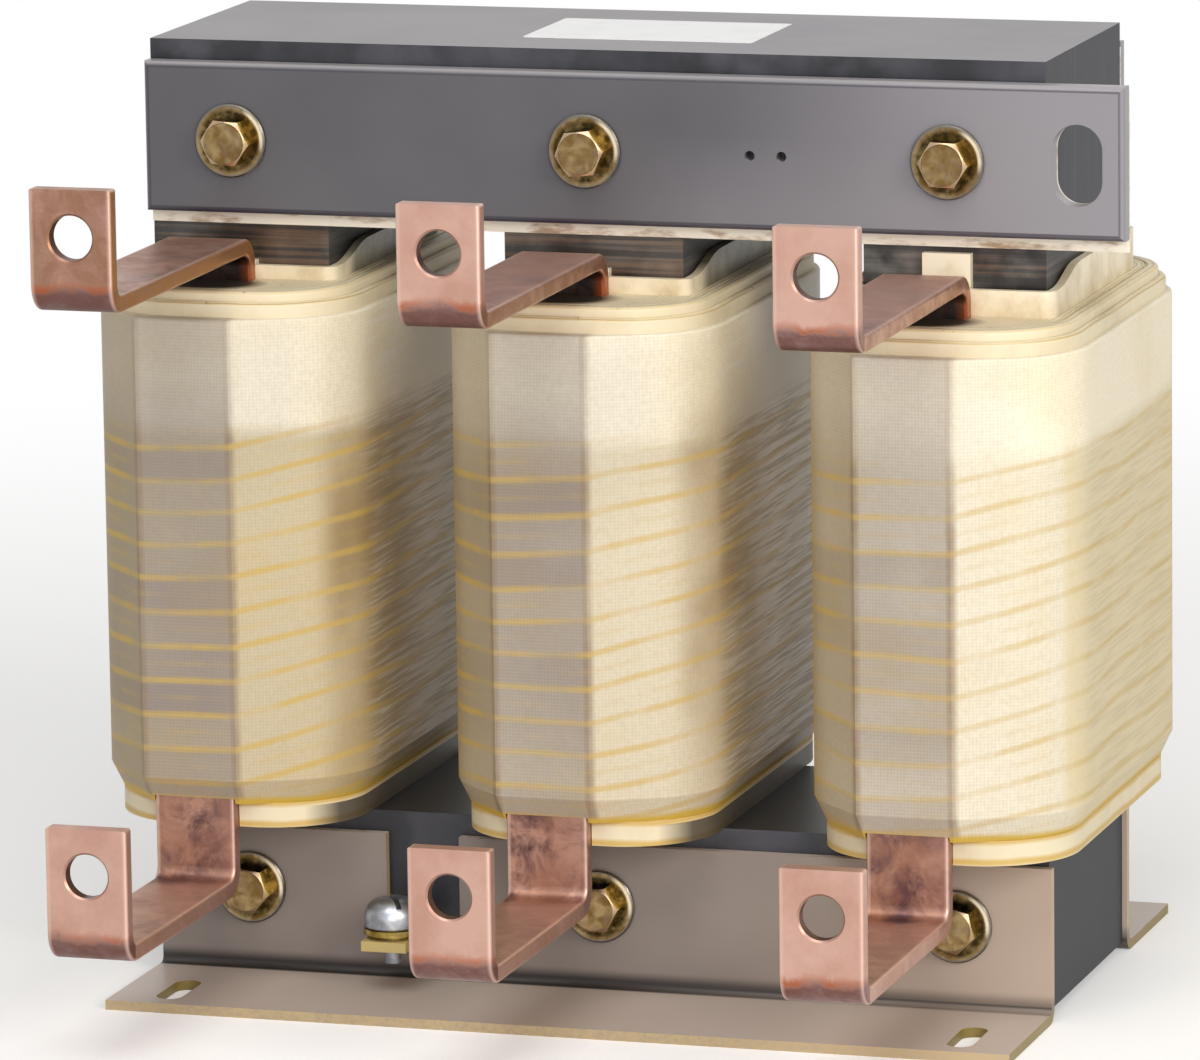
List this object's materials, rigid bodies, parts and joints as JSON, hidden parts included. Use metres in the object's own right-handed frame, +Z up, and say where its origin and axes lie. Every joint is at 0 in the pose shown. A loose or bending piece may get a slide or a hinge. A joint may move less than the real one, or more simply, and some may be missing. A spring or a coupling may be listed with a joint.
{
  "type": "load-side reactor",
  "caption": "Iron-core reactor with a coil on each limb, flat copper terminals in front, a clamped laminated core and slotted foot angles.",
  "frame": {"origin": "midway between the four floor slots, on the plane of the feet's undersides", "axes": "+X to the right along the core, seen from the terminals; +Y from the terminals to the back; +Z up"},
  "size_m": [0.314, 0.2725, 0.285],
  "materials": {
    "core_steel": "dark blue-grey core paint over stacked laminations",
    "bar_paint": "satin grey paint, lighter towards the lifting slot",
    "foot_paint": "satin warm grey paint, bare brown-gold cut edges",
    "gap_board": "pressed glass-resin plate",
    "liner_board": "glass-resin strip, varnished, brown where it ran",
    "former_board": "moulded cream resin, faintly glossy",
    "winding_band": "varnished glass band, yellow at its edges",
    "wrap_tape": "varnished woven tape over the turns",
    "wedge_board": "cream glass-resin strip",
    "copper": "drawn flat copper, stained and tarnished at the bends",
    "gold_zinc": "zinc plating with yellow passivation",
    "bright_zinc": "bright zinc plating",
    "sleeve_board": "wound resin-paper tube"
  },
  "bodies": {
    "root": {"lower_yoke": "core_steel", "upper_yoke": "core_steel", "front_top_bar": "bar_paint", "back_top_bar": "bar_paint", "front_bar_liner": "liner_board", "back_bar_liner": "liner_board", "front_foot_angle": "foot_paint", "back_foot_angle": "foot_paint", "bolt_sleeves": "sleeve_board", "earth_washer": "gold_zinc", "earth_screw": "bright_zinc", "left_limb": "core_steel", "left_gap_plates": "gap_board", "left_coil_former": "former_board", "left_winding": "winding_band", "left_coil_wrap": "wrap_tape", "left_wedge": "wedge_board", "left_start_lead": "copper", "left_finish_lead": "copper", "left_upper_front_washer": "gold_zinc", "left_upper_back_washer": "gold_zinc", "left_upper_bolt": "gold_zinc", "left_upper_nut": "gold_zinc", "left_lower_front_washer": "gold_zinc", "left_lower_back_washer": "gold_zinc", "left_lower_bolt": "gold_zinc", "left_lower_nut": "gold_zinc", "middle_limb": "core_steel", "middle_gap_plates": "gap_board", "middle_coil_former": "former_board", "middle_winding": "winding_band", "middle_coil_wrap": "wrap_tape", "middle_wedge": "wedge_board", "middle_start_lead": "copper", "middle_finish_lead": "copper", "middle_upper_front_washer": "gold_zinc", "middle_upper_back_washer": "gold_zinc", "middle_upper_bolt": "gold_zinc", "middle_upper_nut": "gold_zinc", "middle_lower_front_washer": "gold_zinc", "middle_lower_back_washer": "gold_zinc", "middle_lower_bolt": "gold_zinc", "middle_lower_nut": "gold_zinc", "right_limb": "core_steel", "right_gap_plates": "gap_board", "right_coil_former": "former_board", "right_winding": "winding_band", "right_coil_wrap": "wrap_tape", "right_wedge": "wedge_board", "right_start_lead": "copper", "right_finish_lead": "copper", "right_upper_front_washer": "gold_zinc", "right_upper_back_washer": "gold_zinc", "right_upper_bolt": "gold_zinc", "right_upper_nut": "gold_zinc", "right_lower_front_washer": "gold_zinc", "right_lower_back_washer": "gold_zinc", "right_lower_bolt": "gold_zinc", "right_lower_nut": "gold_zinc"}
  },
  "joints": []
}
